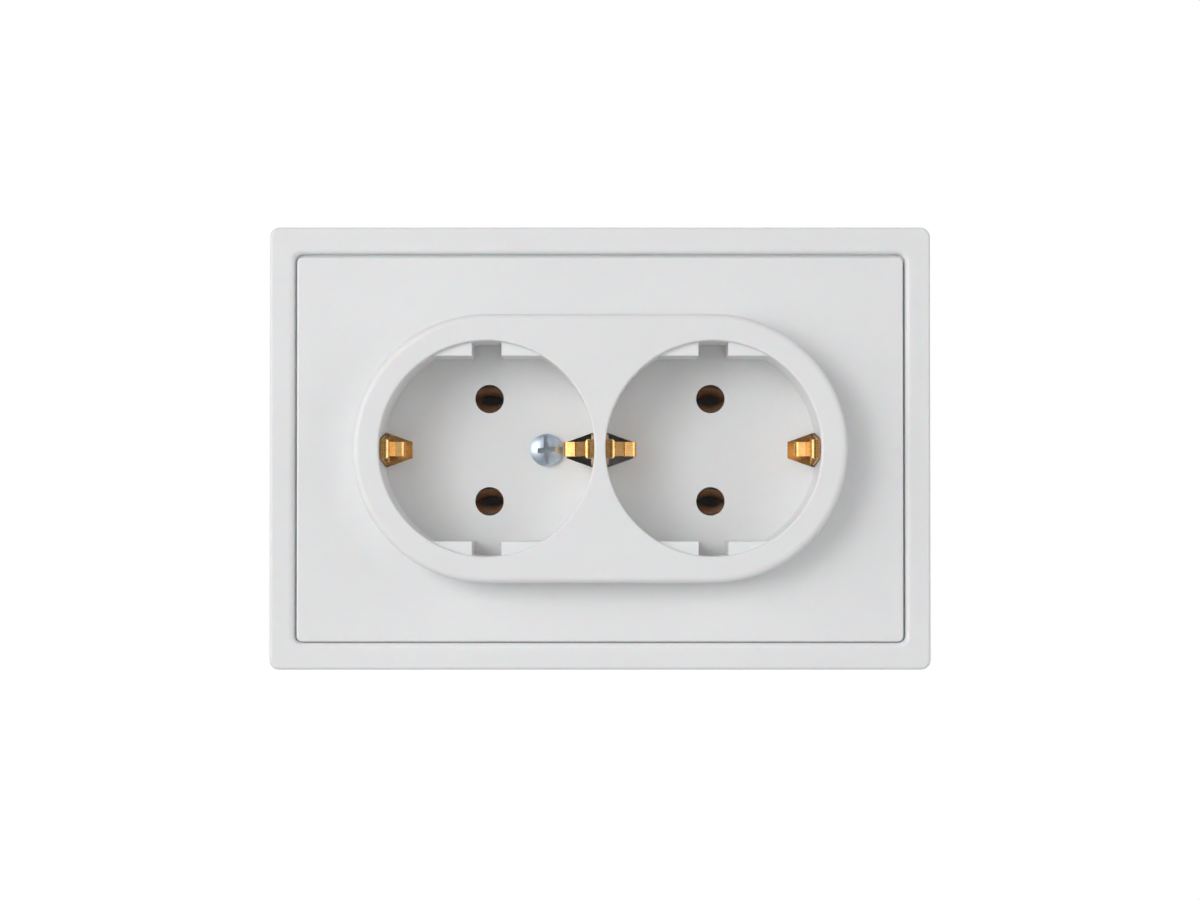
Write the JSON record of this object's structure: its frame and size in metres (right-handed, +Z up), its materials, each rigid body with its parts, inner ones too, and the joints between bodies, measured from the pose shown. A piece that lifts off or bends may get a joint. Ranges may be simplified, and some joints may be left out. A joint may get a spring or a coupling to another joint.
{
  "type": "double wall socket",
  "caption": "White double wall socket with two recessed round wells, side earthing clips and a rectangular trim frame, for a round flush wall box.",
  "frame": {"origin": "middle of the support plate's back, on the wall plane, halfway between the two box-screw slots", "axes": "+Z up, front faces -Y, +X to the right seen from the front"},
  "size_m": [0.121, 0.0455, 0.081],
  "materials": {
    "white_plastic": "satin white moulding",
    "grey_plastic": "matte grey thermoset",
    "brass": "stamped brass",
    "contact_brass": "reddish spring brass",
    "zinc_steel": "bright zinc plating",
    "steel": "dull zinc plating"
  },
  "bodies": {
    "socket": {"outer_frame": "white_plastic", "socket_cover": "white_plastic", "cover_screw": "zinc_steel", "cover_nut": "steel", "support_plate": "steel", "earth_strap": "brass", "centre_earth_clip": "brass", "earth_rivets": "brass", "contact_retainer": "grey_plastic", "contact_base": "grey_plastic", "base_rivets": "steel", "line_contact": "contact_brass", "neutral_contact": "contact_brass", "line_terminal_screws": "zinc_steel", "neutral_terminal_screws": "zinc_steel", "line_clamp_plates": "steel", "neutral_clamp_plates": "steel", "earth_terminal_screw": "zinc_steel", "earth_clamp_plate": "steel"},
    "upper_claw": {"upper_claw": "steel"},
    "lower_claw": {"lower_claw": "steel"},
    "upper_claw_screw": {"upper_claw_screw": "zinc_steel"},
    "lower_claw_screw": {"lower_claw_screw": "zinc_steel"}
  },
  "joints": [
    {"name": "upper_screw_turn", "type": "hinge", "parent": "socket", "child": "upper_claw_screw", "pos_m": [0, 0, 0.0212], "axis": [0, 1, 0], "range_deg": [0, 820]},
    {"name": "upper_claw_swing", "type": "hinge", "parent": "socket", "child": "upper_claw", "pos_m": [0, 0.0075, 0.0172], "axis": [1, 0, 0], "range_deg": [0, 20]},
    {"name": "lower_screw_turn", "type": "hinge", "parent": "socket", "child": "lower_claw_screw", "pos_m": [0, 0, -0.0212], "axis": [0, 1, 0], "range_deg": [0, 820]},
    {"name": "lower_claw_swing", "type": "hinge", "parent": "socket", "child": "lower_claw", "pos_m": [0, 0.0075, -0.0172], "axis": [-1, 0, 0], "range_deg": [0, 20]}
  ],
  "couplings": [
    {"joint": "upper_claw_swing", "follows": "upper_screw_turn", "ratio": 0.0243},
    {"joint": "lower_claw_swing", "follows": "lower_screw_turn", "ratio": 0.0243}
  ]
}
